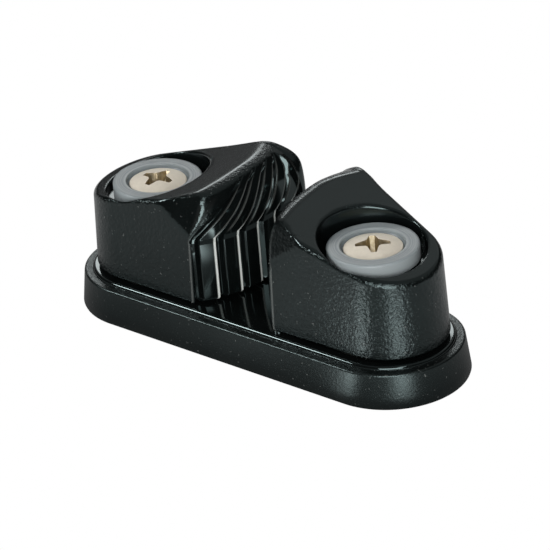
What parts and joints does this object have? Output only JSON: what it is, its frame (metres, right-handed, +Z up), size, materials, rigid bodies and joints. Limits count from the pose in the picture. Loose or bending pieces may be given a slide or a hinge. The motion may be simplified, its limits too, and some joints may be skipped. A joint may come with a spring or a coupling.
{
  "type": "cam cleat",
  "caption": "Rope cam cleat: an oblong base with sprung, toothed cams that turn on flanged bushes and grip the rope between their jaws.",
  "frame": {"origin": "on the deck face, midway between the two pivots", "axes": "+X along the base from the left pivot to the right one, +Y towards the noses of the cams, +Z up from the deck"},
  "size_m": [0.0634, 0.0244, 0.0225],
  "materials": {
    "base_plastic": "black moulding, matt sides and a polished raised top",
    "cam_plastic": "black moulding with a fine eroded grain and polished teeth",
    "bush_plastic": "blue-grey satin moulding",
    "washer_steel": "stamped stainless",
    "spring_steel": "drawn stainless wire",
    "screw_steel": "tumbled stainless"
  },
  "bodies": {
    "base": {"base": "base_plastic", "bush_left": "bush_plastic", "bush_right": "bush_plastic", "washer_left": "washer_steel", "washer_right": "washer_steel", "spring_left": "spring_steel", "spring_right": "spring_steel", "screw_left": "screw_steel", "screw_right": "screw_steel"},
    "cam_left": {"cam_left": "cam_plastic"},
    "cam_right": {"cam_right": "cam_plastic"}
  },
  "joints": [
    {"name": "cam_left_pivot", "type": "hinge", "parent": "base", "child": "cam_left", "pos_m": [-0.019, 0, 0.012], "axis": [0, 0, 1], "range_deg": [0, 45], "stiffness_Nm_per_rad": 0.027, "springref_deg": -45.84, "deforming": ["spring_left"]},
    {"name": "cam_right_pivot", "type": "hinge", "parent": "base", "child": "cam_right", "pos_m": [0.019, 0, 0.012], "axis": [0, 0, -1], "range_deg": [0, 45], "stiffness_Nm_per_rad": 0.027, "springref_deg": -45.84, "deforming": ["spring_right"]}
  ]
}
